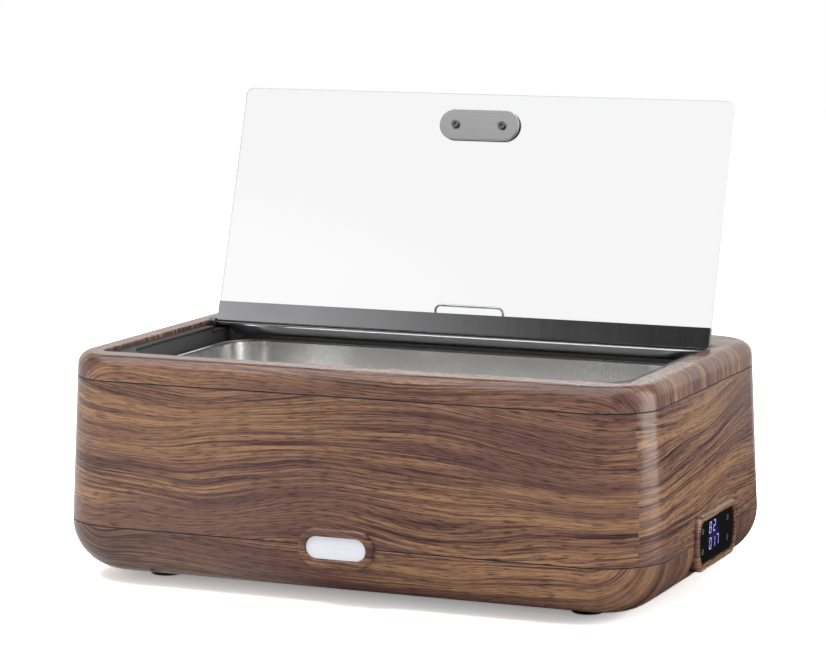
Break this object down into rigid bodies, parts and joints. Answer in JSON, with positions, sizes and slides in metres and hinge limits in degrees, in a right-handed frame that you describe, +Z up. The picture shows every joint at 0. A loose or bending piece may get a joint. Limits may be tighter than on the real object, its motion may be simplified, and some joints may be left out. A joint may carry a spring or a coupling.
{
  "type": "chafing dish",
  "caption": "Electric chafing dish: drafted wood-print housing, lift-out food pan in a heated water bath, hinged glass lid with a handle, and a touch panel on its side.",
  "frame": {"origin": "on the table, under the middle of the dish with its lid open", "axes": "+X to the dish's right, along its length; +Y to its back, where the lid is hinged; +Z up"},
  "size_m": [0.6038, 0.3962, 0.4511],
  "materials": {
    "base_bowl": "walnut-pattern printed film, semi-gloss",
    "body_shell": "walnut-pattern printed film, semi-gloss",
    "top_rim": "walnut-pattern printed film, semi-gloss",
    "feet": "matt",
    "foot_screws": "zinc plated",
    "tie_bolts": "zinc plated",
    "water_bath": "satin",
    "bath_screws": "zinc plated",
    "food_pan": "bright satin",
    "hinge_block_right": "satin",
    "hinge_block_left": "satin",
    "block_screws": "satin",
    "hinge_rod": "ground",
    "hinge_cover": "brushed lengthwise",
    "cover_screws": "zinc plated",
    "lid_rail": "brushed lengthwise",
    "glass_lid": "clear toughened, ground edges",
    "glass_bushes": "natural nylon",
    "handle_front_gasket": "matt",
    "handle_front_plate": "brushed lengthwise",
    "handle_back_gasket": "matt",
    "handle_back_plate": "brushed lengthwise",
    "handle_grip": "satin",
    "handle_screws": "satin",
    "drip_tray": "satin",
    "tray_bail": "bright",
    "badge_surround": "walnut-pattern printed film, semi-gloss",
    "badge_plate": "plain white",
    "panel_bezel": "walnut-pattern printed film, semi-gloss",
    "display_glass": "smoked black with lit digits behind",
    "display_board": "printed circuit board",
    "digit_modules": "digit modules",
    "touch_springs": "wire coils",
    "heater_plate": "cast",
    "heating_element": "sheathed tube",
    "heater_studs": "welded studs",
    "heater_nuts": "zinc plated",
    "shield_spacers": "glazed",
    "heat_shield": "mill finish",
    "thermal_cutout": "with a metal cap",
    "temperature_sensor": "capped bead in a clip",
    "control_board": "printed circuit board",
    "board_screws": "zinc plated",
    "terminal_block": "moulded",
    "transformer": "laminated core with a taped winding",
    "mains_relay": "moulded case",
    "capacitors": "sleeved cans",
    "power_inlet": "moulded",
    "inlet_pins": "nickel plated",
    "inlet_screws": "zinc plated",
    "mains_lead": "sheathed three-core lead",
    "heater_leads": "silicone insulated",
    "display_ribbon": "flat ribbon"
  },
  "bodies": {
    "housing": {"base_bowl": "base_bowl", "body_shell": "body_shell", "top_rim": "top_rim", "feet": "feet", "foot_screws": "foot_screws", "tie_bolts": "tie_bolts", "water_bath": "water_bath", "bath_screws": "bath_screws", "food_pan": "food_pan", "hinge_block_right": "hinge_block_right", "hinge_block_left": "hinge_block_left", "block_screws": "block_screws", "hinge_rod": "hinge_rod", "hinge_cover": "hinge_cover", "cover_screws": "cover_screws", "badge_surround": "badge_surround", "badge_plate": "badge_plate", "panel_bezel": "panel_bezel", "display_glass": "display_glass", "display_board": "display_board", "digit_modules": "digit_modules", "touch_springs": "touch_springs", "heater_plate": "heater_plate", "heating_element": "heating_element", "heater_studs": "heater_studs", "heater_nuts": "heater_nuts", "shield_spacers": "shield_spacers", "heat_shield": "heat_shield", "thermal_cutout": "thermal_cutout", "temperature_sensor": "temperature_sensor", "control_board": "control_board", "board_screws": "board_screws", "terminal_block": "terminal_block", "transformer": "transformer", "mains_relay": "mains_relay", "capacitors": "capacitors", "power_inlet": "power_inlet", "inlet_pins": "inlet_pins", "inlet_screws": "inlet_screws", "mains_lead": "mains_lead", "heater_leads": "heater_leads", "display_ribbon": "display_ribbon"},
    "lid": {"lid_rail": "lid_rail", "glass_lid": "glass_lid", "glass_bushes": "glass_bushes", "handle_front_gasket": "handle_front_gasket", "handle_front_plate": "handle_front_plate", "handle_back_gasket": "handle_back_gasket", "handle_back_plate": "handle_back_plate", "handle_grip": "handle_grip", "handle_screws": "handle_screws"},
    "tray": {"drip_tray": "drip_tray", "tray_bail": "tray_bail"}
  },
  "joints": [
    {"name": "lid_hinge", "type": "hinge", "parent": "housing", "child": "lid", "pos_m": [0, 0.0945, 0.2163], "axis": [1, 0, 0], "range_deg": [0, 107.7]},
    {"name": "tray_lift", "type": "slide", "parent": "housing", "child": "tray", "axis": [0, 0, 1], "range_m": [0, 0.036]}
  ]
}
